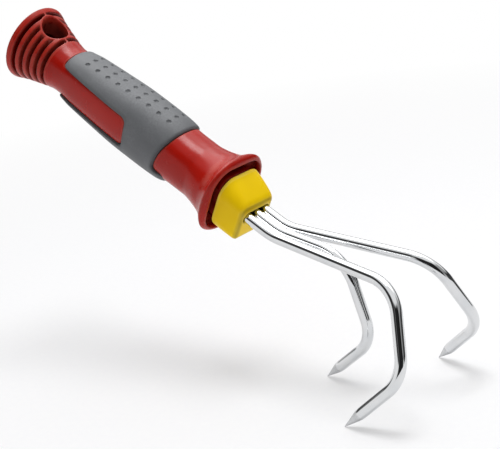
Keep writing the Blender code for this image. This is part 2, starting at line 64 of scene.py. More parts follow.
# How deep a corner of a moulded piece is felt for, when its edges and hollows are marked
EDGE_REACH = 1.2 * MM

# Times that a net is drawn onto its surface, and how far its points even out in all but the last two
NET_ROUNDS = 4
NET_EASE = 0.6

# Working pose of the tool's frame, as in the CAD model
PITCH = Matrix.Rotation(math.radians(30.7019), 4, "Y")
STANCE = Matrix.Translation(Vector((10.2445, 0, 83.3150)) * MM) @ PITCH

# Handle, with its lip and the tube round its socket
HANDLE_LENGTH = 134.4 * MM
LIP_FRONT = 1.15 * MM
LIP_CHAMFER = 1.75 * MM
LIP_TILT = 0.02
MOUTH_DEPTH = 7.0 * MM
TUBE_HALF_WIDTH = 10.3 * MM
TUBE_HALF_HEIGHT = 11.4 * MM
TUBE_CORNER = 5.0 * MM

# Places in the collar's square mouth at its floor, half way and near its edge, and its half sizes and
# corner radii there, in mm
MOUTH_PLACES = (-7.0, -3.5, 0.55)
MOUTH_SIZES = ((12.6, 14.8, 15.9), (8.0, 9.6, 10.2))

# Sections of the handle: place behind the rim, half width, half height and squareness, which is 2 for an
# ellipse
STATIONS = np.array((
    (134.4, 18.7, 19.7, 2.0),
    (128, 16.5, 17.2, 2.0),
    (122, 14.9, 15.3, 2.0),
    (112, 12.4, 12.6, 2.0),
    (108.5, 11.7, 11.9, 2.1),
    (104.4, 11.5, 11.7, 2.2),
    (96, 12.0, 12.6, 2.4),
    (80, 12.8, 13.7, 2.4),
    (67, 13.2, 14.5, 2.4),
    (50, 13.1, 15.3, 2.2),
    (40, 12.9, 15.0, 2.2),
    (31, 12.8, 13.6, 2.3),
    (24, 12.9, 13.3, 2.3),
    (18.5, 13.0, 13.5, 2.2),
    (14.5, 13.9, 14.1, 2.1),
    (10.5, 15.1, 15.1, 2.0),
    (7, 15.9, 15.9, 2.1),
    (4, 17.45, 17.35, 2.15),
    (1.5, 19.3, 19.05, 2.35),
    (0.6, 19.65, 19.25, 2.5),
    (0, 19.65, 19.25, 2.5),
))[::-1] * (MM, MM, MM, 1)

# Fins and hanging hole, with places behind the rim
CORE_RADIUS = 9.4 * MM
FIRST_GROOVE = 114.6 * MM
HANGING_HOLE_PLACE = 123.0 * MM
BOSS_WALL = 1.3 * MM
WEB_THICKNESS = 1.2 * MM

# Radii that moulding leaves on the handle's rims and in its hollows
END_ROUND = 0.7 * MM
CHAMFER_ROUND = 1.0 * MM
LIP_ROUND = 0.8 * MM
GROOVE_FLOOR_ROUND = 0.4 * MM
BOSS_ROUND = 0.35 * MM
FIN_ROUND = 0.5 * MM
MOUTH_FLOOR_ROUND = 0.8 * MM
MOUTH_RIM_ROUND = 0.4 * MM
SOCKET_ROUND = 0.2 * MM
BED_ROUND = 0.4 * MM

# Soft grip: how far it stands proud, the share of that which is left at its ends, and how deep it lies
GRIP_PROUD = 1.2 * MM
GRIP_END_SHARE = 0.15
GRIP_DEPTH = 1.7 * MM
GRIP_FRONT = 31.6 * MM
GRIP_REAR = 104.4 * MM
GRIP_RAKE = -0.03
GRIP_RAKE_REACH = 20.0 * MM
GRIP_FRONT_ROUND = 5.0 * MM
GRIP_REAR_ROUND = 1.6 * MM
GRIP_RIM_ROUND = 1.3 * MM
GRIP_INNER_ROUND = 0.2 * MM

# Window in each side of the grip: its nose points forward, between corners that lie behind it
WINDOW_FRONT = 55.0 * MM
WINDOW_TOP_BACK = 2.0 * MM
WINDOW_BOTTOM_BACK = 1.5 * MM
WINDOW_TOP = 6.9 * MM
WINDOW_BOTTOM = -7.9 * MM
WINDOW_RISE = 0.6 * MM
WINDOW_NOSE_ROUND = 9.0 * MM
WINDOW_CORNER_ROUND = 3.0 * MM
WINDOW_END_ROUND = 1.0 * MM
WINDOW_RIM_ROUND = 1.8 * MM

# Scallop in each side of the grip's front edge
SCALLOP_REAR = 38.0 * MM
SCALLOP_TOP = 13.0 * MM
SCALLOP_KNEE = 1.6 * MM
SCALLOP_BOTTOM = -7.4 * MM
SCALLOP_BACK_ROUND = 6.0 * MM
SCALLOP_FOOT_ROUND = 2.6 * MM
SCALLOP_RIM_ROUND = 2.0 * MM

# Middle of the field of dimples, how far the ball that sinks each one stands off the surface, and the
# height from which the balls drop and how far they can
DIMPLE_MIDDLE = -66.9 * MM
DIMPLE_LIFT = 0.75 * MM
DROP_HEIGHT = 30.0 * MM
DROP_REACH = 40.0 * MM

# Tine holder
SEAT_REAR = LIP_FRONT + LIP_TILT * TUBE_HALF_HEIGHT + GAP
HEAD_REAR = 2.0 * MM
HEAD_FRONT = 15.6 * MM
HEAD_HALF_WIDTHS = (13.4 * MM, 10.6 * MM)
HEAD_TOPS = (13.0 * MM, 5.4 * MM)
HEAD_BOTTOMS = (-13.5 * MM, -13.0 * MM)
HEAD_CORNERS = (8.4 * MM, 3.0 * MM)
HEAD_BULGE = 0.3 * MM
HEAD_EDGE_ROUND = 2.4 * MM
HEAD_CHIN_ROUND = 3.2 * MM
HEAD_REAR_ROUND = 0.4 * MM
TANG_REAR = -30.0 * MM
TANG_FRONT = 4.0 * MM
TANG_HALF_WIDTH = 9.15 * MM
TANG_HALF_HEIGHT = 6.0 * MM
TANG_CORNER = 2.5 * MM
TANG_ROUND = 0.5 * MM
SLOT_CLEARANCE = 0.25 * MM
SLOT_ROUND = 0.35 * MM

# Tines
SHANK_RADIUS = 2.5 * MM
TINE_PITCH = 5.7 * MM
TINE_PLANE = -0.7 * MM
SHANK_REAR = -26.0 * MM
FIRST_BEND = 30.0 * MM

# Radii of a tine's three bends
OUTER_BENDS = (25.0 * MM, 18.5 * MM, 15.0 * MM)
MIDDLE_BENDS = (25.0 * MM, 21.0 * MM, 15.0 * MM)

# Legs of a tine after its first bend: length, and in degrees how far each heads outwards and rises
OUTER_LEGS = ((70.7 * MM, 7.4, 21.6), (37.1 * MM, 30.5, -38.9), (37.2 * MM, 151.7, -68.6))
MIDDLE_LEGS = ((34.9 * MM, 0.0, 18.6), (38.9 * MM, 0.0, -45.8), (36.1 * MM, 180.0, -68.6))

# Flags and panels of the studio, in degrees: azimuth of the middle, half width, lowest and highest edge.
# The last number is the light there: a dark flag leaves less than 1 and a bright panel gives more. Where
# they overlap, their numbers multiply.
PANELS = (
    (312, 40, -20, 46, 0.02),
    (238, 34, 17, 50, 0.04),
    (180, 28, 5, 17, 0.06),
    (115, 48, 1, 13, 0.08),
    (48, 46, -20, 17, 0.06),
    (8, 40, 10, 42, 0.4),
    (125, 75, 44, 84, 3.0),
    (142, 36, 40, 72, 1.6),
)

# How soft their edges are at the sides, the bottom and the top, as half the width of the blur in degrees
SIDE_BLUR = 7
LOW_BLUR = 3
HIGH_BLUR = 5

# Floor and softbox, in metres, with the point that the softbox faces
FLOOR_RADIUS = 0.7
SOFTBOX_SIZE = 0.36
SOFTBOX_PLACE = Vector((0.05, 0.12, 0.91))
SOFTBOX_AIM = Vector((0, 0, 0.08))

# The photo's camera: lens and sensor in mm, place in mm, and turns about X, Y and Z in degrees
CAMERA_LENS = 93.564
CAMERA_SENSOR = 36
CAMERA_PLACE = (401.51, -397.79, 249.25)
CAMERA_TURNS = (71.7062, 9.0318, 40.9567)


def linear(code):
    """Linear red, green, blue and alpha of an sRGB hex colour, by the sRGB standard's own curve."""
    parts = [int(code[i:i + 2], 16) / 255 for i in (1, 3, 5)]
    return (*(c / 12.92 if c <= 0.04045 else ((c + 0.055) / 1.055) ** 2.4 for c in parts), 1.0)


def add_node(tree, kind, inputs=None, **settings):
    """Add a node to a tree, set its properties, and set or link its inputs by name or number.

    An input that is given a node takes the first of its outputs that are in use. The inputs of a Mix node
    go by number: 0 is its factor, and A and B are 2 and 3 for numbers and 6 and 7 for colours.
    """
    node = tree.nodes.new(kind)
    for name, value in settings.items():
        setattr(node, name, value)
    for name, value in (inputs or {}).items():
        if isinstance(value, bpy.types.Node):
            value = next(socket for socket in value.outputs if socket.enabled)
        if isinstance(value, bpy.types.NodeSocket):
            tree.links.new(value, node.inputs[name])
        else:
            node.inputs[name].default_value = value
    return node


def smooth_curve(knots, values, places):
    """Monotone cubic through the knots, which keeps long tapers free of bumps."""
    spans = np.diff(knots)
    slopes = np.diff(values) / spans
    tangents = np.concatenate((slopes[:1], np.zeros(len(slopes) - 1), slopes[-1:]))
    for i in range(1, len(slopes)):
        if slopes[i - 1] * slopes[i] > 0:
            before = 2 * spans[i] + spans[i - 1]
            after = spans[i] + 2 * spans[i - 1]
            tangents[i] = (before + after) / (before / slopes[i - 1] + after / slopes[i])
    i = np.clip(np.searchsorted(knots, places) - 1, 0, len(spans) - 1)
    t = (places - knots[i]) / spans[i]
    start = (1 + 2 * t) * (1 - t) ** 2 * values[i] + t * (1 - t) ** 2 * spans[i] * tangents[i]
    end = t * t * (3 - 2 * t) * values[i + 1] + t * t * (t - 1) * spans[i] * tangents[i + 1]
    return start + end


def section_table():
    """Handle sections every 0.1 mm: place behind the rim, half width, half height, squareness and slope."""
    places = np.arange(0, STATIONS[-1, 0], 0.1 * MM)
    columns = [smooth_curve(STATIONS[:, 0], STATIONS[:, k], places) for k in (1, 2, 3)]
    slope = np.gradient((columns[0] + columns[1]) / 2, places)
    return places, *columns, slope


SECTIONS = section_table()


def smooth_max(a, b, radius):
    """Greater of two distances, with the edge or hollow where they meet rounded to about a radius."""
    # With this reach a square corner loses as much as it does to a fillet of the radius
    reach = 1.17 * radius
    overlap = np.maximum(reach - np.abs(a - b), 0) / reach
    return np.maximum(a, b) + overlap * overlap * reach / 4


def section_distance(x, y, z, offset=0.0):
    """Distance from the handle's lofted surface, or from one that stands off it, and negative inside."""
    half_width, half_height, squareness, slope = (np.interp(-x, SECTIONS[0], c) for c in SECTIONS[1:])
    across = np.abs(y / (half_width + offset)) ** squareness
    up = np.abs(z / (half_height + offset)) ** squareness
    # A point's share of the way out from the axis is 1 on the surface
    share = np.maximum((across + up) ** (1 / squareness), 1e-4)
    radius = np.hypot(y, z)
    return (radius - radius / share) / np.sqrt(1 + slope ** 2)


def rectangle_distance(y, z, half_width, bottom, top, corner):
    """Distance from an upright rectangle with round corners, across the axis."""
    across = np.abs(y) - half_width + corner
    up = np.abs(z - (top + bottom) / 2) - (top - bottom) / 2 + corner
    outside = np.hypot(np.maximum(across, 0), np.maximum(up, 0))
    return outside + np.minimum(np.maximum(across, up), 0) - corner


def flat_distance(y, z, half_width, half_height, corner):
    """Distance from a rectangle with round corners that lies about the plane of the tines."""
    return rectangle_distance(y, z, half_width, TINE_PLANE - half_height, TINE_PLANE + half_height, corner)


def tube_distance(y, z):
    """Distance from the tube round the socket, which is also the outline of the holder's seat."""
    return rectangle_distance(y, z, TUBE_HALF_WIDTH, -TUBE_HALF_HEIGHT, TUBE_HALF_HEIGHT, TUBE_CORNER)


def line_distance(x, z, start, end):
    """Distance to the left of a line in side view, from its start to its end."""
    along = np.array(end) - np.array(start)
    return (along[0] * (z - start[1]) - along[1] * (x - start[0])) / math.hypot(*along)


def grip_plan(x, z):
    """Distance from the grip's outline in side view, with its two windows and scallops taken out."""
    top_front = (-WINDOW_FRONT - WINDOW_TOP_BACK, WINDOW_TOP)
    bottom_front = (-WINDOW_FRONT - WINDOW_BOTTOM_BACK, WINDOW_BOTTOM)
    nose = (-WINDOW_FRONT, 0)
    upper = -line_distance(x, z, top_front, (-GRIP_REAR, WINDOW_TOP + WINDOW_RISE))
    lower = line_distance(x, z, bottom_front, (-GRIP_REAR, WINDOW_BOTTOM + WINDOW_RISE / 3))
    below_nose = -line_distance(x, z, bottom_front, nose)
    above_nose = -line_distance(x, z, nose, top_front)
    front = smooth_max(below_nose, above_nose, WINDOW_NOSE_ROUND)
    window = smooth_max(smooth_max(upper, lower, WINDOW_END_ROUND), front, WINDOW_CORNER_ROUND)

    slant = line_distance(x, z, (-SCALLOP_REAR, SCALLOP_KNEE), (-GRIP_FRONT, SCALLOP_TOP))
    scallop = smooth_max(slant, -SCALLOP_REAR - x, SCALLOP_BACK_ROUND)
    scallop = smooth_max(scallop, SCALLOP_BOTTOM - z, SCALLOP_FOOT_ROUND)

    ends = np.maximum(-GRIP_REAR - x, x + GRIP_RAKE * z + GRIP_FRONT)
    return smooth_max(smooth_max(ends, -window, WINDOW_RIM_ROUND), -scallop, SCALLOP_RIM_ROUND)


def grip_distance(x, y, z):
    """Distance from the soft grip, without its dimples, which sinks to the handle's skin at its ends."""
    fade = np.clip(1 - (-x - GRIP_FRONT) / GRIP_RAKE_REACH, 0, 1)
    back = -x - GRIP_RAKE * z * fade
    into_rear = 1 - (GRIP_REAR - back) / GRIP_REAR_ROUND
    into_front = 1 - (back - GRIP_FRONT) / GRIP_FRONT_ROUND
    into = np.clip(np.maximum(into_rear, into_front), 0, 1)
    proud = GRIP_PROUD * (GRIP_END_SHARE + (1 - GRIP_END_SHARE) * np.sqrt(1 - into ** 2))
    shell = smooth_max(section_distance(x, y, z, proud), grip_plan(x, z), GRIP_RIM_ROUND)
    return smooth_max(shell, -section_distance(x, y, z, -GRIP_DEPTH), GRIP_INNER_ROUND)


def handle_skin(x, y, z):
    """Distance from the handle's outline, with its grooves, hole, mouth and bed filled in."""
    return np.maximum(section_distance(x, y, z), np.maximum(x - LIP_FRONT, -HANDLE_LENGTH - x))


def grooves_distance(x, y, z, from_hole, settings):
    """Distance from the grooves between the fins, which leave a core, the hole's boss and a web."""
    number = np.clip(np.round((-x - FIRST_GROOVE) / settings.fin_pitch), 0, settings.groove_count - 1)
    from_middle = np.abs(x + FIRST_GROOVE + number * settings.fin_pitch)
    groove = smooth_max(
        from_middle - settings.groove_width / 2, CORE_RADIUS - np.hypot(y, z), GROOVE_FLOOR_ROUND
    )
    groove = smooth_max(groove, BOSS_WALL - from_hole, BOSS_ROUND)
    return smooth_max(groove, WEB_THICKNESS / 2 - np.abs(y), BOSS_ROUND)


def mouth_distance(x, y, z, lean):
    """Distance from the hollow of the collar, which widens forwards round the tube of the socket."""
    half, corner = (np.interp(lean / MM, MOUTH_PLACES, sizes) * MM for sizes in MOUTH_SIZES)
    hollow = rectangle_distance(y, z, half, -half, half, corner)
    mouth = smooth_max(hollow, -MOUTH_DEPTH - x, MOUTH_FLOOR_ROUND)
    return smooth_max(mouth, -tube_distance(y, z), MOUTH_RIM_ROUND)


def handle_distance(x, y, z, settings):
    """Distance from the red handle, in which every rim and hollow is rounded as moulding leaves it."""
    # The tilt of the lip sets in between 12 and 2 mm behind the rim
    lean = x + LIP_TILT * z * np.clip(x / (10 * MM) + 1.2, 0, 1)
    body = smooth_max(section_distance(lean, y, z), -HANDLE_LENGTH - x, END_ROUND)
    rim = section_distance(0 * x, y, z)
    body = smooth_max(body, (lean - LIP_FRONT + rim + LIP_CHAMFER) / math.sqrt(2), CHAMFER_ROUND)
    body = smooth_max(body, lean - LIP_FRONT, LIP_ROUND)

    from_hole = np.hypot(x + HANGING_HOLE_PLACE, y) - settings.hole_diameter / 2
    body = smooth_max(body, -grooves_distance(x, y, z, from_hole, settings), FIN_ROUND)
    body = smooth_max(body, -from_hole, FIN_ROUND)

    body = smooth_max(body, -mouth_distance(x, y, z, lean), MOUTH_RIM_ROUND)
    socket = flat_distance(
        y, z, TANG_HALF_WIDTH + SLOT_CLEARANCE, TANG_HALF_HEIGHT + SLOT_CLEARANCE, TANG_CORNER
    )
    body = smooth_max(body, -np.maximum(socket, TANG_REAR - GAP - x), SOCKET_ROUND)

    bed = np.maximum(grip_plan(x, z) - BED_GAP, -section_distance(x, y, z, -GRIP_DEPTH - BED_GAP))
    return smooth_max(body, -bed, BED_ROUND)


def head_distance(x, y, z):
    """Distance from the head of the holder, with its sloping top and without its slot."""
    run = np.clip((x - HEAD_REAR) / (HEAD_FRONT - HEAD_REAR), 0, 1)
    ends = (HEAD_HALF_WIDTHS, HEAD_TOPS, HEAD_BOTTOMS, HEAD_CORNERS)
    half_width, top, bottom, corner = (rear + (front - rear) * run for rear, front in ends)
    bulge = HEAD_BULGE * (1 - (2 * run - 1) ** 2)
    head = rectangle_distance(y, z, half_width + bulge, bottom, top + bulge, corner)
    head = smooth_max(head, x - HEAD_FRONT, HEAD_EDGE_ROUND)
    head = np.maximum(head, smooth_max(HEAD_BOTTOMS[1] - z, x - HEAD_FRONT, HEAD_CHIN_ROUND))
    return smooth_max(head, HEAD_REAR - x, HEAD_REAR_ROUND)


def holder_distance(x, y, z):
    """Distance from the yellow holder: its head, its seat, a tang, and one flat slot through them."""
    seat = np.maximum(tube_distance(y, z), np.abs(x - HEAD_REAR) - (HEAD_REAR - SEAT_REAR))
    ends = np.abs(x - (TANG_REAR + TANG_FRONT) / 2) - (TANG_FRONT - TANG_REAR) / 2
    tang = smooth_max(flat_distance(y, z, TANG_HALF_WIDTH, TANG_HALF_HEIGHT, TANG_CORNER), ends, TANG_ROUND)
    # The sides of the slot are as good as half round
    half = SHANK_RADIUS + SLOT_CLEARANCE
    slot = np.maximum(flat_distance(y, z, TINE_PITCH + half, half, half * 0.999), SHANK_REAR - GAP - x)
    solid = np.minimum(np.minimum(head_distance(x, y, z), seat), tang)
    return smooth_max(solid, -slot, SLOT_ROUND)


def grid_places(*stretches):
    """Places along an axis, from stretches of start, end and step in mm that follow on each other."""
    places = [np.arange(start * MM, (end - step / 2) * MM, step * MM) for start, end, step in stretches]
    return np.concatenate((*places, [stretches[-1][1] * MM]))


def surface_normals(distance, points):
    """Outward normals of a distance field at points, and the distances there."""
    reach = 0.02 * MM
    slopes = []
    for axis in range(3):
        shift = np.zeros(3)
        shift[axis] = reach
        ahead = distance(*(points + shift).T)
        behind = distance(*(points - shift).T)
        slopes.append((ahead - behind) / (2 * reach))
    gradient = np.stack(slopes, axis=1)
    length = np.maximum(np.linalg.norm(gradient, axis=1, keepdims=True), 1e-6)
    return gradient / length, distance(*points.T)[:, None] / length


def net_cells(values, places):
    """Corners of a net over the zero surface of a grid of distances, and the quads that join them."""
    inside = values < 0
    total = np.zeros((*(n - 1 for n in values.shape), 3))
    count = np.zeros(total.shape[:3], int)
    crossings = []
    for axis in range(3):
        low = tuple(slice(0, -1) if k == axis else slice(None) for k in range(3))
        high = tuple(slice(1, None) if k == axis else slice(None) for k in range(3))
        where = np.nonzero(inside[low] != inside[high])
        first, second = values[low][where], values[high][where]
        share = first / (first - second)
        points = np.stack([places[k][where[k]] for k in range(3)], axis=1)
        points[:, axis] += share * (places[axis][where[axis] + 1] - places[axis][where[axis]])
        one, other = (k for k in range(3) if k != axis)
        cells = {}
        for a, b in ((0, 0), (0, 1), (1, 0), (1, 1)):
            cell = list(where)
            cell[one] = cell[one] - a
            cell[other] = cell[other] - b
            cells[a, b] = tuple(cell)
            np.add.at(total, cells[a, b], points)
            np.add.at(count, cells[a, b], 1)
        # A ring of cells runs the other way round the second axis, so it is turned there
        crossings.append((cells, inside[low][where] == (axis != 1)))
    number = np.full(count.shape, -1)
    number[count > 0] = np.arange((count > 0).sum())
    corners = total[count > 0] / count[count > 0][:, None]
    quads = []
    for cells, outward in crossings:
        ring = np.stack([number[cells[turn]] for turn in ((1, 1), (0, 1), (0, 0), (1, 0))], axis=1)
        ring[~outward] = ring[~outward][:, ::-1]
        quads.append(ring)
    return corners, np.concatenate(quads)


def net_mesh(name, distance, places, skin=None):
    """Closed mesh of quads on the zero surface of a distance, spread evenly and with its true normals.

    Its points are marked with how far they are on an edge and in a hollow, from 0 to 1, and where a skin
    is given also with their depth below it, in metres.
    """
    grid = np.meshgrid(*places, indexing="ij")
    corners, quads = net_cells(distance(*grid), places)
    ends = np.concatenate([quads[:, [k, (k + 1) % 4]] for k in range(4)])
    shared = np.maximum(np.bincount(ends[:, 0], minlength=len(corners)), 1)[:, None]
    for turn in range(NET_ROUNDS):
        normals, off = surface_normals(distance, corners)
        corners = corners - normals * off
        if turn < NET_ROUNDS - 2:
            sums = [np.bincount(ends[:, 0], corners[ends[:, 1], k], len(corners)) for k in range(3)]
            pull = np.stack(sums, axis=1) / shared - corners
            corners = corners + NET_EASE * (pull - normals * (pull * normals).sum(1, keepdims=True))
    normals, off = surface_normals(distance, corners)
    mesh = bpy.data.meshes.new(name)
    mesh.from_pydata(corners.tolist(), [], quads.tolist())
    mesh.update()
    mesh.shade_smooth()
    mesh.normals_split_custom_set_from_vertices(normals.tolist())
    edge = 1 + distance(*(corners - normals * EDGE_REACH).T) / EDGE_REACH
    hollow = 1 - distance(*(corners + normals * EDGE_REACH).T) / EDGE_REACH
    marks = {"edge": np.clip(edge, 0, 1), "hollow": np.clip(hollow, 0, 1)}
    if skin:
        marks["depth"] = np.maximum(-skin(*corners.T), 0)
    for mark, values in marks.items():
        mesh.attributes.new(mark, "FLOAT", "POINT").data.foreach_set("value", values)
    return mesh


def finish_piece(name, mesh, material, node):
    """Stand a mesh in the working pose as the piece that replaces a CAD node."""
    mesh.transform(STANCE)
    mesh.materials.clear()
    mesh.materials.append(material)
    piece = bpy.data.objects.new(name, mesh)
    bpy.context.scene.collection.objects.link(piece)
    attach(piece, "root")
    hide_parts(node)
    return piece


def new_material(name):
    """Material without nodes, and the function that adds nodes to it."""
    material = bpy.data.materials.new(name)
    material.use_nodes = True
    material.node_tree.nodes.clear()
    return material, functools.partial(add_node, material.node_tree)


def noise_scale(width):
    """Scale of a noise texture whose blotches are about a width in mm across."""
    return 0.5 / (width * MM)


def tool_place(add, stretch=(1, 1, 1)):
    """Place on a piece in the tool's own frame, in metres, drawn out along the handle by a stretch."""
    coordinates = add("ShaderNodeTexCoord").outputs["Object"]
    return add("ShaderNodeMapping", {
        "Vector": coordinates, "Location": STANCE.translation, "Rotation": PITCH.to_euler(),
        "Scale": stretch,
    }, vector_type="TEXTURE")


def gloss_polypropylene(name, colour, clouded, soil_and_shade, pale_wear_and_highlight, shade_depth, roughness, gloss):
    """Injection-moulded polypropylene, coloured in the melt and polished in its mould.

    The eye sees a clean satin gloss whose highlights break up a little over a fine grain, and faint clouds
    drawn out along the flow of the melt. Hollows take a darker tone, partly as soil and partly as painted
    shade, and what lies deep below the outer skin takes it as painted shade, fully dark from the given
    depth on, in metres. Edges get a dull pale line in patches, partly wear and partly a painted highlight.
    """
    material, add = new_material(name)
    place = tool_place(add)
    # Clouds in the melt are about 9 mm across and three times as long, and patches of edge wear with a
    # painted highlight about 2.4 mm across
    drawn_out = tool_place(add, (3, 1, 1))
    flow = add("ShaderNodeTexNoise", {"Vector": drawn_out, "Scale": noise_scale(9)})
    patches = add("ShaderNodeTexNoise", {"Vector": place, "Scale": noise_scale(2.4), "Detail": 3.0})
    # Spark-eroded grain is about 0.1 mm across, too fine for a picture of the whole tool: drawn at 0.45 mm
    grain = add("ShaderNodeTexNoise", {"Vector": place, "Scale": noise_scale(0.45)})
    edge, hollow, depth = (
        add("ShaderNodeAttribute", attribute_name=mark).outputs["Fac"]
        for mark in ("edge", "hollow", "depth")
    )

    cloud = add("ShaderNodeMapRange", {"Value": flow, "From Min": 0.35, "From Max": 0.65})
    melt = add("ShaderNodeMix", {0: cloud, 6: colour, 7: clouded}, data_type="RGBA")
    # Hollows take a darker tone, partly as soil and partly as painted shade, and what lies deep below the
    # outer skin, such as grooves, the hanging hole, the mouth and the slot, takes it as painted shade
    hollow_shade = add(
        "ShaderNodeMapRange", {"Value": hollow, "From Min": 0.04, "From Max": 0.3, "To Max": 0.7}
    )
    depth_shade = add("ShaderNodeMapRange", {
        "Value": depth, "From Min": 0.12 * shade_depth, "From Max": shade_depth, "To Max": 0.95,
    })
    soil_and_shade_share = add("ShaderNodeMath", {0: hollow_shade, 1: depth_shade}, operation="MAXIMUM")
    base = add("ShaderNodeMix", {0: soil_and_shade_share, 6: melt, 7: soil_and_shade}, data_type="RGBA")
    # Edges turn pale in patches, partly as wear and partly as a painted highlight
    on_edge = add("ShaderNodeMapRange", {"Value": edge, "From Min": 0.06, "From Max": 0.28})
    in_patch = add("ShaderNodeMapRange", {
        "Value": patches, "From Min": 0.3, "From Max": 0.6, "To Min": 0.1, "To Max": 0.4,
    })
    wear_and_highlight_share = add("ShaderNodeMath", {0: on_edge, 1: in_patch}, operation="MULTIPLY")
    worn = add("ShaderNodeMix", {0: wear_and_highlight_share, 6: base, 7: pale_wear_and_highlight}, data_type="RGBA")
    polish = add("ShaderNodeMapRange", {
        "Value": patches, "From Min": 0.3, "From Max": 0.7, "To Min": roughness - 0.03,
        "To Max": roughness + 0.04,
    })
    dull = add("ShaderNodeMath", {0: wear_and_highlight_share, 1: 0.25, 2: polish}, operation="MULTIPLY_ADD")
    bump = add("ShaderNodeBump", {"Strength": 0.35, "Distance": 0.03 * MM, "Height": grain})
    shader = add("ShaderNodeBsdfPrincipled", {
        "Base Color": worn, "Roughness": dull, "IOR": 1.49, "Specular IOR Level": gloss, "Normal": bump,
    })
    add("ShaderNodeOutputMaterial", {"Surface": shader})
    return material


def soft_elastomer(colour, deep, dusty):
    """Thermoplastic elastomer, moulded over the handle in a blasted tool.

    The eye sees a matt, slightly dusty skin with a fine tooth. Its edges are darker, partly where hands and
    the edges of the bed rub it and partly as painted shade, and its hollows and dimples darker still, as
    painted shade.
    """
    material, add = new_material("soft_elastomer")
    # Dusty clouds are about 7 mm across and twice as long
    clouds = add(
        "ShaderNodeTexNoise", {"Vector": tool_place(add, (2, 1, 1)), "Scale": noise_scale(7), "Detail": 3.0}
    )
    # A blasted tool leaves a tooth of about 0.15 mm: drawn at 0.5 mm so that it shows
    tooth = add("ShaderNodeTexNoise", {"Vector": tool_place(add), "Scale": noise_scale(0.5), "Detail": 3.0})
    edge, hollow = (
        add("ShaderNodeAttribute", attribute_name=mark).outputs["Fac"]
        for mark in ("edge", "hollow")
    )

    in_cloud = add("ShaderNodeMapRange", {"Value": clouds, "From Min": 0.38, "From Max": 0.68})
    in_tooth = add("ShaderNodeMapRange", {
        "Value": tooth, "From Min": 0.3, "From Max": 0.7, "To Min": 0.1, "To Max": 0.5,
    })
    dust = add("ShaderNodeMath", {0: in_cloud, 1: in_tooth}, operation="MULTIPLY")
    base = add("ShaderNodeMix", {0: dust, 6: colour, 7: dusty}, data_type="RGBA")
    # Edges are darkened, partly as rubbing and partly as painted shade, and hollows and dimples more, as
    # painted shade
    on_edge = add("ShaderNodeMapRange", {"Value": edge, "From Min": 0.08, "From Max": 0.3, "To Max": 0.3})
    hollow_shade = add(
        "ShaderNodeMapRange", {"Value": hollow, "From Min": 0.05, "From Max": 0.3, "To Max": 0.8}
    )
    bare = add("ShaderNodeMath", {0: on_edge, 1: hollow_shade}, operation="MAXIMUM")
    skin = add("ShaderNodeMix", {0: bare, 6: base, 7: deep}, data_type="RGBA")
    dull = add("ShaderNodeMapRange", {
        "Value": clouds, "From Min": 0.3, "From Max": 0.7, "To Min": 0.54, "To Max": 0.66,
    })
    bump = add("ShaderNodeBump", {"Strength": 0.5, "Distance": 0.06 * MM, "Height": tooth})
    shader = add("ShaderNodeBsdfPrincipled", {"Base Color": skin, "Roughness": dull, "Normal": bump})
    add("ShaderNodeOutputMaterial", {"Surface": shader})
    return material


def chromed_steel(bar_radius, point_length):
    """Cold-drawn steel bar, polished and chrome plated, with its point ground after plating.

    The eye sees a clear mirror with a cool cast, faint lines along the bar where it was drawn and
    polished, and a duller grey point with fine scratches round it.
    """
    material, add = new_material("chromed_steel")
    ring = add("ShaderNodeAttribute", attribute_name="ring").outputs["Vector"]
    to_point = add("ShaderNodeAttribute", attribute_name="to_point").outputs["Fac"]
    round_bar = add("ShaderNodeVectorMath", {"Vector": ring, "Scale": bar_radius}, operation="SCALE")
    along_bar = add("ShaderNodeCombineXYZ", {"Z": to_point})
    spot = add("ShaderNodeVectorMath", {0: round_bar, 1: along_bar}, operation="ADD")
    # Lines are drawn out 25 times along the bar, and scratches pressed together so that they run round it
    drawn = add("ShaderNodeVectorMath", {0: spot, 1: (1, 1, 0.04)}, operation="MULTIPLY")
    ground = add("ShaderNodeVectorMath", {0: spot, 1: (1, 1, 4)}, operation="MULTIPLY")
    # Polishing lines are some 0.02 mm apart: drawn ten times as coarse, as are the wheel's scratches. Faint
    # clouds in the plating are about 5 mm across.
    lines = add("ShaderNodeTexNoise", {"Vector": drawn, "Scale": noise_scale(0.22), "Detail": 3.0})
    scratches = add("ShaderNodeTexNoise", {"Vector": ground, "Scale": noise_scale(0.5), "Detail": 3.0})
    clouds = add("ShaderNodeTexNoise", {"Vector": tool_place(add), "Scale": noise_scale(5)})

    at_point = add("ShaderNodeMapRange", {
        "Value": to_point, "From Min": point_length, "From Max": 1.06 * point_length, "To Min": 1.0,
        "To Max": 0.0,
    })
    in_cloud = add("ShaderNodeMapRange", {"Value": clouds, "From Min": 0.35, "From Max": 0.65})
    in_scratch = add("ShaderNodeMapRange", {"Value": scratches, "From Min": 0.3, "From Max": 0.7})
    plated = add(
        "ShaderNodeMix", {0: in_cloud, 6: linear("#DCDDDE"), 7: linear("#D5D7D9")}, data_type="RGBA"
    )
    bare = add(
        "ShaderNodeMix", {0: in_scratch, 6: linear("#CFD0D1"), 7: linear("#BABCBE")}, data_type="RGBA"
    )
    steel = add("ShaderNodeMix", {0: at_point, 6: plated, 7: bare}, data_type="RGBA")
    polish = add("ShaderNodeMapRange", {
        "Value": lines, "From Min": 0.35, "From Max": 0.65, "To Min": 0.05, "To Max": 0.1,
    })
    wheel = add("ShaderNodeMapRange", {"Value": in_scratch, "To Min": 0.22, "To Max": 0.36})
    dull = add("ShaderNodeMix", {0: at_point, 2: polish, 3: wheel}, data_type="FLOAT")
    height = add("ShaderNodeMix", {0: at_point, 2: 0.5, 3: scratches}, data_type="FLOAT")
    bump = add("ShaderNodeBump", {"Strength": 0.3, "Distance": 0.02 * MM, "Height": height})
    shader = add("ShaderNodeBsdfPrincipled", {
        "Base Color": steel, "Metallic": 1.0, "Roughness": dull, "Normal": bump,
    })
    add("ShaderNodeOutputMaterial", {"Surface": shader})
    return material


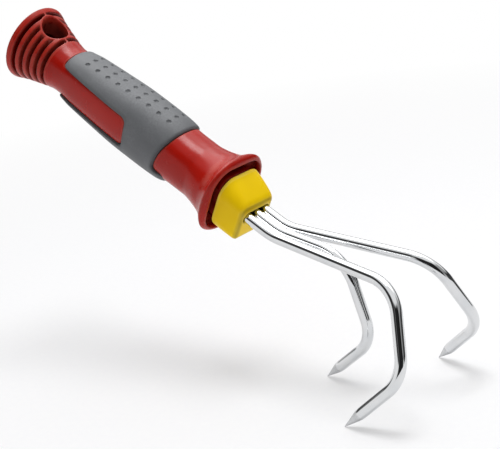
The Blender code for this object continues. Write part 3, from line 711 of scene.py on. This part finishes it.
def matt_floor(colour):
    """Painted board, rolled with a matt white: nearly no texture, and white to the eye further off.

    Near the tool most of it is lit as it is, so that the tool's shadow stays on it. Rays from the camera,
    from gloss and through glass see it turn to plain white with distance, so that it has no horizon.
    """
    material, add = new_material("matt_floor")
    place = add("ShaderNodeTexCoord").outputs["Object"]
    # The stipple of a paint roller is about 1.5 mm across
    stipple = add("ShaderNodeTexNoise", {"Vector": place, "Scale": noise_scale(1.5)})
    in_stipple = add("ShaderNodeMapRange", {"Value": stipple, "From Min": 0.3, "From Max": 0.7})
    tint = add("ShaderNodeMix", {0: in_stipple, 6: colour, 7: linear("#F2F2F4")}, data_type="RGBA")
    board = add(
        "ShaderNodeBsdfPrincipled", {"Base Color": tint, "Roughness": 0.9, "Specular IOR Level": 0.2}
    )
    # The floor turns white from 0.25 to 0.6 m away from the tool
    away = add("ShaderNodeVectorMath", {0: place}, operation="LENGTH")
    plain = add("ShaderNodeMapRange", {
        "Value": away, "From Min": 0.25, "From Max": 0.6, "To Min": 0.32, "To Max": 1.0,
    })
    share = add("ShaderNodeMath", {0: plain, 1: seen_directly(add)}, operation="MULTIPLY")
    white = add("ShaderNodeEmission", {"Color": (1, 1, 1, 1), "Strength": 1.0})
    mixed = add("ShaderNodeMixShader", {0: share, 1: board, 2: white})
    add("ShaderNodeOutputMaterial", {"Surface": mixed})
    return material


def seen_directly(add):
    """Share of 1 for rays that come from the camera, from gloss or through glass, and 0 for others."""
    path = add("ShaderNodeLightPath").outputs
    seen = add("ShaderNodeMath", {0: path["Is Camera Ray"], 1: path["Is Glossy Ray"]}, operation="MAXIMUM")
    return add("ShaderNodeMath", {0: seen, 1: path["Is Transmission Ray"]}, operation="MAXIMUM")


def studio_surround(strength):
    """White surround with dark flags and bright panels in it, as they are set round polished metal.

    The camera sees plain white. Gloss sees white too, broken by the flags and panels. The fill light that
    comes from all round follows them, but is never as dark as a flag or as bright as a panel.
    """
    world = bpy.data.worlds.new("studio")
    world.use_nodes = True
    world.node_tree.nodes.clear()
    add = functools.partial(add_node, world.node_tree)
    direction = add("ShaderNodeTexCoord").outputs["Generated"]
    height = add("ShaderNodeSeparateXYZ", {"Vector": direction}).outputs["Z"]
    climb = add("ShaderNodeMath", {0: height}, operation="ARCSINE")
    elevation = add("ShaderNodeMath", {0: climb}, operation="DEGREES")
    flat = add("ShaderNodeVectorMath", {0: direction, 1: (1, 1, 0)}, operation="MULTIPLY")
    heading = add("ShaderNodeVectorMath", {0: flat}, operation="NORMALIZE")
    level_there = 1.0
    for azimuth, half_width, lowest, highest, level in PANELS:
        turn = math.radians(azimuth)
        middle = (math.cos(turn), math.sin(turn), 0)
        beside = add("ShaderNodeVectorMath", {0: heading, 1: middle}, operation="DOT_PRODUCT")
        covered = 1.0
        for value, start, end in (
            (beside, *(math.cos(math.radians(half_width + blur)) for blur in (SIDE_BLUR, -SIDE_BLUR))),
            (elevation, lowest - LOW_BLUR, lowest + LOW_BLUR),
            (elevation, highest + HIGH_BLUR, highest - HIGH_BLUR),
        ):
            within = add(
                "ShaderNodeMapRange", {"Value": value, "From Min": start, "From Max": end},
                interpolation_type="SMOOTHSTEP",
            )
            covered = add("ShaderNodeMath", {0: covered, 1: within}, operation="MULTIPLY")
        left = add("ShaderNodeMapRange", {"Value": covered, "To Min": 1.0, "To Max": level})
        level_there = add("ShaderNodeMath", {0: level_there, 1: left}, operation="MULTIPLY")
    fill = add("ShaderNodeMapRange", {
        "Value": level_there, "From Max": 3.0, "To Min": 0.45 * strength, "To Max": 2.1 * strength,
    })
    light = add("ShaderNodeMix", {0: seen_directly(add), 2: fill, 3: level_there}, data_type="FLOAT")
    camera_ray = add("ShaderNodeLightPath").outputs["Is Camera Ray"]
    shown = add("ShaderNodeMath", {0: light, 1: camera_ray}, operation="MAXIMUM")
    background = add("ShaderNodeBackground", {"Color": (1, 1, 1, 1), "Strength": shown})
    add("ShaderNodeOutputWorld", {"Surface": background})
    return world


# Settings that every colour has
COLOUR = {"subtype": "COLOR", "size": 4, "min": 0, "max": 1}


class CultivatorHandleSettings(bpy.types.PropertyGroup):
    """Sizes and colour of the red handle"""

    colour: bpy.props.FloatVectorProperty(
        name="Colour", description="Colour of the moulded handle", default=linear("#B01506"), **COLOUR,
    )
    groove_count: bpy.props.IntProperty(
        name="Grooves", description="Number of grooves between the fins of the hanging end",
        default=5, min=1, max=5,
    )
    fin_pitch: bpy.props.FloatProperty(
        name="Fin pitch", description="Distance from one fin to the next", unit="LENGTH", default=4.0 * MM,
    )
    groove_width: bpy.props.FloatProperty(
        name="Groove width", description="Width of each groove between two fins", unit="LENGTH",
        default=1.9 * MM,
    )
    hole_diameter: bpy.props.FloatProperty(
        name="Hanging hole", description="Diameter of the hole for a hook", unit="LENGTH",
        default=12.8 * MM,
    )


class CultivatorGripSettings(bpy.types.PropertyGroup):
    """Sizes and colour of the soft grip"""

    colour: bpy.props.FloatVectorProperty(
        name="Colour", description="Colour of the soft grip", default=linear("#626467"), **COLOUR,
    )
    dimple_columns: bpy.props.IntProperty(
        name="Columns", description="Number of dimples along the grip", default=9, min=1,
    )
    dimple_rows: bpy.props.IntProperty(
        name="Rows", description="Number of dimples across the grip", default=3, min=1,
    )
    dimple_pitch: bpy.props.FloatProperty(
        name="Pitch", description="Distance between dimples along the grip", unit="LENGTH",
        default=6.74 * MM,
    )
    dimple_spacing: bpy.props.FloatProperty(
        name="Row spacing", description="Distance between rows of dimples", unit="LENGTH", default=5.0 * MM,
    )
    dimple_radius: bpy.props.FloatProperty(
        name="Dimple radius", description="Radius of the ball that sinks each dimple", unit="LENGTH",
        default=1.45 * MM,
    )


class CultivatorHolderSettings(bpy.types.PropertyGroup):
    """Colour of the yellow tine holder"""

    colour: bpy.props.FloatVectorProperty(
        name="Colour", description="Colour of the tine holder", default=linear("#FFD800"), **COLOUR,
    )


class CultivatorTineSettings(bpy.types.PropertyGroup):
    """Sizes of the three tines"""

    bar_radius: bpy.props.FloatProperty(
        name="Bar radius", description="Radius of the round bar", unit="LENGTH", default=SHANK_RADIUS,
    )
    point_length: bpy.props.FloatProperty(
        name="Point length", description="Length of the ground point", unit="LENGTH", default=10.0 * MM,
    )
    bluntness: bpy.props.FloatProperty(
        name="Bluntness", description="Radius of the point's end as a share of the bar's", subtype="FACTOR",
        default=0.05, min=0.01, max=1,
    )


class CultivatorStudioSettings(bpy.types.PropertyGroup):
    """Light and floor of the studio"""

    floor_colour: bpy.props.FloatVectorProperty(
        name="Floor", description="Colour of the floor", default=linear("#F4F4F5"), **COLOUR,
    )
    sky_strength: bpy.props.FloatProperty(
        name="Fill light", description="Strength of the light from all round", default=0.62, min=0,
    )
    softbox_power: bpy.props.FloatProperty(
        name="Softbox", description="Power of the softbox overhead", unit="POWER", default=3.9, min=0,
    )


class CULTIVATOR_OT_handle(bpy.types.Operator):
    """Build the red handle with its finned hanging end and its flared collar"""

    bl_idname = "cultivator.handle"
    bl_label = "Handle"

    def execute(self, context):
        settings = context.scene.cultivator_handle
        # The net is finest at the fins, at both ends of the grip's bed and round the mouth
        along = grid_places(
            (-135.2, -102.0, 0.4), (-102.0, -34.0, 0.58), (-34.0, -27.0, 0.4), (-27.0, -20.0, 0.7),
            (-20.0, -8.0, 0.55), (-8.0, 1.6, 0.45),
        )
        side = np.linspace(-21.3 * MM, 21.3 * MM, 79)
        mesh = net_mesh(
            "handle_moulding", lambda x, y, z: handle_distance(x, y, z, settings), (along, side, side),
            handle_skin,
        )
        # Its dark colour paints shade, with some soil, into hollows, grooves, the hanging hole and the
        # mouth, and its pale edge colour is partly wear and partly a painted highlight
        material = gloss_polypropylene(
            "red_polypropylene", settings.colour, clouded=linear("#A01004"), soil_and_shade=linear("#350101"),
            pale_wear_and_highlight=linear("#B84A3A"), shade_depth=4 * MM, roughness=0.24, gloss=0.24,
        )
        finish_piece("handle_moulding", mesh, material, "handle_body")
        return {"FINISHED"}


def new_group(name, taken, made, kinds):
    """Geometry nodes that take one shape and make another, with named inputs of the kinds that are given.

    Returns the tree, the identifiers by which a modifier sets its inputs, the function that adds nodes to
    the tree, and the inputs as its nodes take them.
    """
    tree = bpy.data.node_groups.new(name, "GeometryNodeTree")
    tree.interface.new_socket(taken, in_out="INPUT", socket_type="NodeSocketGeometry")
    tree.interface.new_socket(made, in_out="OUTPUT", socket_type="NodeSocketGeometry")
    sockets = {
        label: tree.interface.new_socket(label, in_out="INPUT", socket_type="NodeSocket" + kind).identifier
        for label, kind in kinds.items()
    }
    add = functools.partial(add_node, tree)
    return tree, sockets, add, add("NodeGroupInput").outputs


def close_group(add, given, made, shape):
    """End a tree: make the shape real, give it its material and hand it out."""
    real = add("GeometryNodeRealizeInstances", {"Geometry": shape})
    painted = add("GeometryNodeSetMaterial", {"Geometry": real, "Material": given["Material"]})
    add("NodeGroupOutput", {made: painted})


def dimple_tree():
    """Geometry nodes that drop a grid of balls onto the grip and take them out of it."""
    tree, sockets, add, given = new_group("grip_dimples", "Grip", "Dimpled Grip", {
        "Columns": "Int", "Rows": "Int", "Pitch": "Float", "Row Spacing": "Float", "Middle": "Float",
        "Radius": "Float", "Lift": "Float", "Material": "Material",
    })
    gaps_along = add("ShaderNodeMath", {0: given["Columns"], 1: 1.0}, operation="SUBTRACT")
    gaps_across = add("ShaderNodeMath", {0: given["Rows"], 1: 1.0}, operation="SUBTRACT")
    length = add("ShaderNodeMath", {0: gaps_along, 1: given["Pitch"]}, operation="MULTIPLY")
    width = add("ShaderNodeMath", {0: gaps_across, 1: given["Row Spacing"]}, operation="MULTIPLY")
    grid = add("GeometryNodeMeshGrid", {
        "Size X": length, "Size Y": width, "Vertices X": given["Columns"], "Vertices Y": given["Rows"],
    })
    above = add("ShaderNodeCombineXYZ", {"X": given["Middle"], "Z": DROP_HEIGHT})
    raised = add("GeometryNodeTransform", {"Geometry": grid, "Translation": above})
    down = add("GeometryNodeRaycast", {
        "Target Geometry": given["Grip"], "Ray Direction": (0, 0, -1), "Ray Length": DROP_REACH,
    })
    lift = add(
        "ShaderNodeVectorMath", {"Vector": down.outputs["Hit Normal"], "Scale": given["Lift"]},
        operation="SCALE",
    )
    centre = add("ShaderNodeVectorMath", {0: down.outputs["Hit Position"], 1: lift}, operation="ADD")
    landed = add("GeometryNodeSetPosition", {"Geometry": raised, "Position": centre})
    ball = add("GeometryNodeMeshUVSphere", {"Segments": 24, "Rings": 16, "Radius": given["Radius"]})
    # The skin inside a dimple counts as slightly hollow, so that the grip's material paints a little shade
    # into it
    marked = add(
        "GeometryNodeStoreNamedAttribute", {"Geometry": ball, "Name": "hollow", "Value": 0.16},
        data_type="FLOAT", domain="POINT",
    )
    balls = add("GeometryNodeInstanceOnPoints", {"Points": landed, "Instance": marked})
    real = add("GeometryNodeRealizeInstances", {"Geometry": balls})
    sunk = add(
        "GeometryNodeMeshBoolean", {"Mesh 1": given["Grip"], "Mesh 2": real},
        operation="DIFFERENCE", solver="EXACT",
    )
    close_group(add, given, "Dimpled Grip", sunk)
    return tree, sockets


class CULTIVATOR_OT_grip(bpy.types.Operator):
    """Build the soft grip and sink its rows of dimples"""

    bl_idname = "cultivator.grip"
    bl_label = "Soft Grip"

    def execute(self, context):
        settings = context.scene.cultivator_grip
        places = (
            grid_places((-105.2, -28.8, 0.5)),
            np.linspace(-15.2 * MM, 15.2 * MM, 70),
            np.linspace(-17.4 * MM, 17.4 * MM, 80),
        )
        blank = bpy.data.objects.new("grip_blank", net_mesh("grip_blank", grip_distance, places))
        # The deep colour paints shade into hollows and dimples, and darkens edges partly as rubbing and
        # partly as painted shade
        material = soft_elastomer(settings.colour, deep=linear("#3A3C3F"), dusty=linear("#8C8E91"))
        tree, sockets = dimple_tree()
        mesh = evaluated_mesh(blank, tree, sockets, {
            "Columns": settings.dimple_columns, "Rows": settings.dimple_rows,
            "Pitch": settings.dimple_pitch, "Row Spacing": settings.dimple_spacing,
            "Middle": DIMPLE_MIDDLE, "Radius": settings.dimple_radius, "Lift": DIMPLE_LIFT,
            "Material": material,
        }, sharp_from=35)
        finish_piece("soft_grip", mesh, material, "grip_overmould")
        return {"FINISHED"}


class CULTIVATOR_OT_holder(bpy.types.Operator):
    """Build the yellow head that holds the tines in the handle"""

    bl_idname = "cultivator.holder"
    bl_label = "Tine Holder"

    def execute(self, context):
        settings = context.scene.cultivator_holder
        # The net is finest where the head meets its seat
        along = grid_places((-30.6, 0.0, 0.8), (0.0, 1.6, 0.4), (1.6, 3.2, 0.25), (3.2, 16.4, 0.4))
        side = np.linspace(-14.2 * MM, 14.2 * MM, 93)
        mesh = net_mesh("tine_head", holder_distance, (along, side, side), head_distance)
        # Its dark colour paints shade into hollows, the slot and round the tang, and its pale edge colour
        # is partly wear and partly a painted highlight
        material = gloss_polypropylene(
            "yellow_polypropylene", settings.colour, clouded=linear("#F6CC00"), soil_and_shade=linear("#2A2003"),
            pale_wear_and_highlight=linear("#F6E070"), shade_depth=0.9 * MM, roughness=0.3, gloss=0.14,
        )
        finish_piece("tine_head", mesh, material, "tine_holder")
        return {"FINISHED"}


def tine_corners(side, legs):
    """Corners of a tine's centreline, from the end of its shank in the holder to its point."""
    offset = TINE_PITCH * side
    corners = [Vector((SHANK_REAR, offset, TINE_PLANE)), Vector((FIRST_BEND, offset, TINE_PLANE))]
    for length, heading, rise in legs:
        turn = math.radians(heading)
        climb = math.radians(rise)
        flat = length * math.cos(climb)
        corners.append(corners[-1] + Vector((
            flat * math.cos(turn), flat * math.sin(turn) * (side or 1), length * math.sin(climb)
        )))
    return corners


def tine_tree():
    """Geometry nodes that round a path's corners, sweep a bar along it and grind its end to a point."""
    tree, sockets, add, given = new_group("tine_bar", "Path", "Bar", {
        "Bar Radius": "Float", "Point Length": "Float", "Bluntness": "Float", "Material": "Material",
    })
    bend = add("GeometryNodeInputNamedAttribute", {"Name": "bend_radius"}, data_type="FLOAT")
    line = add("GeometryNodeMeshToCurve", {"Mesh": given["Path"]})
    rounded = add("GeometryNodeFilletCurve", {"Curve": line, "Count": 40, "Radius": bend}, mode="POLY")
    even = add("GeometryNodeResampleCurve", {"Curve": rounded, "Length": 0.7 * MM}, mode="LENGTH")
    place = add("GeometryNodeSplineParameter")
    whole = add("GeometryNodeSplineLength")
    left = add("ShaderNodeMath", {0: whole, 1: place.outputs["Length"]}, operation="SUBTRACT")
    taper = add("ShaderNodeMapRange", {
        "Value": left, "From Max": given["Point Length"], "To Min": given["Bluntness"],
    }, clamp=False)
    # Grinding and polishing round the shoulder of the point
    eased = add("ShaderNodeMath", {0: taper, 1: 1.0, 2: 0.3}, operation="SMOOTH_MIN")
    radius = add("ShaderNodeMath", {0: eased, 1: given["Bar Radius"]}, operation="MULTIPLY")
    marked = add(
        "GeometryNodeStoreNamedAttribute", {"Geometry": even, "Name": "to_point", "Value": left},
        data_type="FLOAT", domain="POINT",
    )
    circle = add("GeometryNodeCurvePrimitiveCircle", {"Resolution": 64, "Radius": 1.0})
    position = add("GeometryNodeInputPosition")
    ringed = add(
        "GeometryNodeStoreNamedAttribute", {"Geometry": circle, "Name": "ring", "Value": position},
        data_type="FLOAT_VECTOR", domain="POINT",
    )
    bar = add("GeometryNodeCurveToMesh", {
        "Curve": marked, "Profile Curve": ringed, "Scale": radius, "Fill Caps": True,
    })
    smooth = add("GeometryNodeSetShadeSmooth", {"Geometry": bar})
    close_group(add, given, "Bar", smooth)
    return tree, sockets


def evaluated_mesh(source, tree, sockets, values, sharp_from):
    """Plain mesh that a node tree makes of an object, which is then removed.

    Its edges are sharp where they turn by more than an angle in degrees.
    """
    bpy.context.scene.collection.objects.link(source)
    modifier = source.modifiers.new(tree.name, "NODES")
    modifier.node_group = tree
    for name, value in values.items():
        modifier[sockets[name]] = value
    source.update_tag()
    bpy.context.view_layer.update()
    mesh = bpy.data.meshes.new_from_object(source.evaluated_get(bpy.context.evaluated_depsgraph_get()))
    bpy.data.objects.remove(source)
    mesh.set_sharp_from_angle(angle=math.radians(sharp_from))
    return mesh


def path_object(name, corners, radii):
    """Path of edges through corners, each with the radius of its bend."""
    mesh = bpy.data.meshes.new(name)
    mesh.from_pydata(corners, [(i, i + 1) for i in range(len(corners) - 1)], [])
    bends = mesh.attributes.new("bend_radius", "FLOAT", "POINT")
    bends.data.foreach_set("value", [0.0, *radii, 0.0])
    return bpy.data.objects.new(name, mesh)


class CULTIVATOR_OT_tines(bpy.types.Operator):
    """Build the three bent tines with their ground points"""

    bl_idname = "cultivator.tines"
    bl_label = "Tines"

    def execute(self, context):
        settings = context.scene.cultivator_tines
        tree, sockets = tine_tree()
        steel = chromed_steel(settings.bar_radius, settings.point_length)
        for name, side, legs, bends in (
            ("left", 1, OUTER_LEGS, OUTER_BENDS),
            ("middle", 0, MIDDLE_LEGS, MIDDLE_BENDS),
            ("right", -1, OUTER_LEGS, OUTER_BENDS),
        ):
            source = path_object("path_" + name, tine_corners(side, legs), bends)
            mesh = evaluated_mesh(source, tree, sockets, {
                "Bar Radius": settings.bar_radius, "Point Length": settings.point_length,
                "Bluntness": settings.bluntness, "Material": steel,
            }, sharp_from=40)
            finish_piece("bar_" + name, mesh, steel, "tine_" + name)
        return {"FINISHED"}


class CULTIVATOR_OT_studio(bpy.types.Operator):
    """Set up the floor, the lights and the camera"""

    bl_idname = "cultivator.studio"
    bl_label = "Studio"

    def execute(self, context):
        scene = context.scene
        settings = scene.cultivator_studio
        scene.view_settings.view_transform = "Standard"

        camera_data = bpy.data.cameras.new("photo_camera")
        camera_data.sensor_width = CAMERA_SENSOR
        camera_data.lens = CAMERA_LENS
        camera_data.clip_start = 0.01
        camera_data.clip_end = 20
        camera = bpy.data.objects.new("photo_camera", camera_data)
        camera.location = Vector(CAMERA_PLACE) * MM
        camera.rotation_euler = [math.radians(turn) for turn in CAMERA_TURNS]
        scene.collection.objects.link(camera)
        scene.camera = camera

        bm = bmesh.new()
        bmesh.ops.create_circle(bm, cap_ends=True, radius=FLOOR_RADIUS, segments=96)
        mesh = bpy.data.meshes.new("floor")
        bm.to_mesh(mesh)
        bm.free()
        mesh.materials.append(matt_floor(settings.floor_colour))
        floor = bpy.data.objects.new("floor", mesh)
        scene.collection.objects.link(floor)

        scene.world = studio_surround(settings.sky_strength)

        light = bpy.data.lights.new("softbox", "AREA")
        light.shape = "SQUARE"
        light.size = SOFTBOX_SIZE
        light.energy = settings.softbox_power
        softbox = bpy.data.objects.new("softbox", light)
        softbox.location = SOFTBOX_PLACE
        softbox.rotation_euler = (SOFTBOX_AIM - SOFTBOX_PLACE).to_track_quat("-Z", "Y").to_euler()
        scene.collection.objects.link(softbox)
        return {"FINISHED"}


class CULTIVATOR_PT_panel(bpy.types.Panel):
    """Buttons and settings for each piece of the cultivator and for its studio"""

    bl_idname = "CULTIVATOR_PT_panel"
    bl_label = "Garden Cultivator"
    bl_space_type = "VIEW_3D"
    bl_region_type = "UI"
    bl_category = "Cultivator"

    def draw(self, context):
        for key, kind, operator in GROUPS:
            settings = getattr(context.scene, "cultivator_" + key)
            box = self.layout.box()
            box.operator(operator.bl_idname)
            for name in kind.__annotations__:
                box.prop(settings, name)


GROUPS = (
    ("handle", CultivatorHandleSettings, CULTIVATOR_OT_handle),
    ("grip", CultivatorGripSettings, CULTIVATOR_OT_grip),
    ("holder", CultivatorHolderSettings, CULTIVATOR_OT_holder),
    ("tines", CultivatorTineSettings, CULTIVATOR_OT_tines),
    ("studio", CultivatorStudioSettings, CULTIVATOR_OT_studio),
)


def register():
    """Add the classes, and each group's settings to every scene."""
    for key, settings, operator in GROUPS:
        bpy.utils.register_class(settings)
        setattr(bpy.types.Scene, "cultivator_" + key, bpy.props.PointerProperty(type=settings))
        bpy.utils.register_class(operator)
    bpy.utils.register_class(CULTIVATOR_PT_panel)


def unregister():
    """Remove what register added."""
    bpy.utils.unregister_class(CULTIVATOR_PT_panel)
    for key, settings, operator in reversed(GROUPS):
        bpy.utils.unregister_class(operator)
        delattr(bpy.types.Scene, "cultivator_" + key)
        bpy.utils.unregister_class(settings)


def main():
    """Build every piece and the studio."""
    register()
    for step in (
        bpy.ops.cultivator.studio,
        bpy.ops.cultivator.handle,
        bpy.ops.cultivator.grip,
        bpy.ops.cultivator.holder,
        bpy.ops.cultivator.tines,
    ):
        step()


if __name__ == "__main__":
    main()
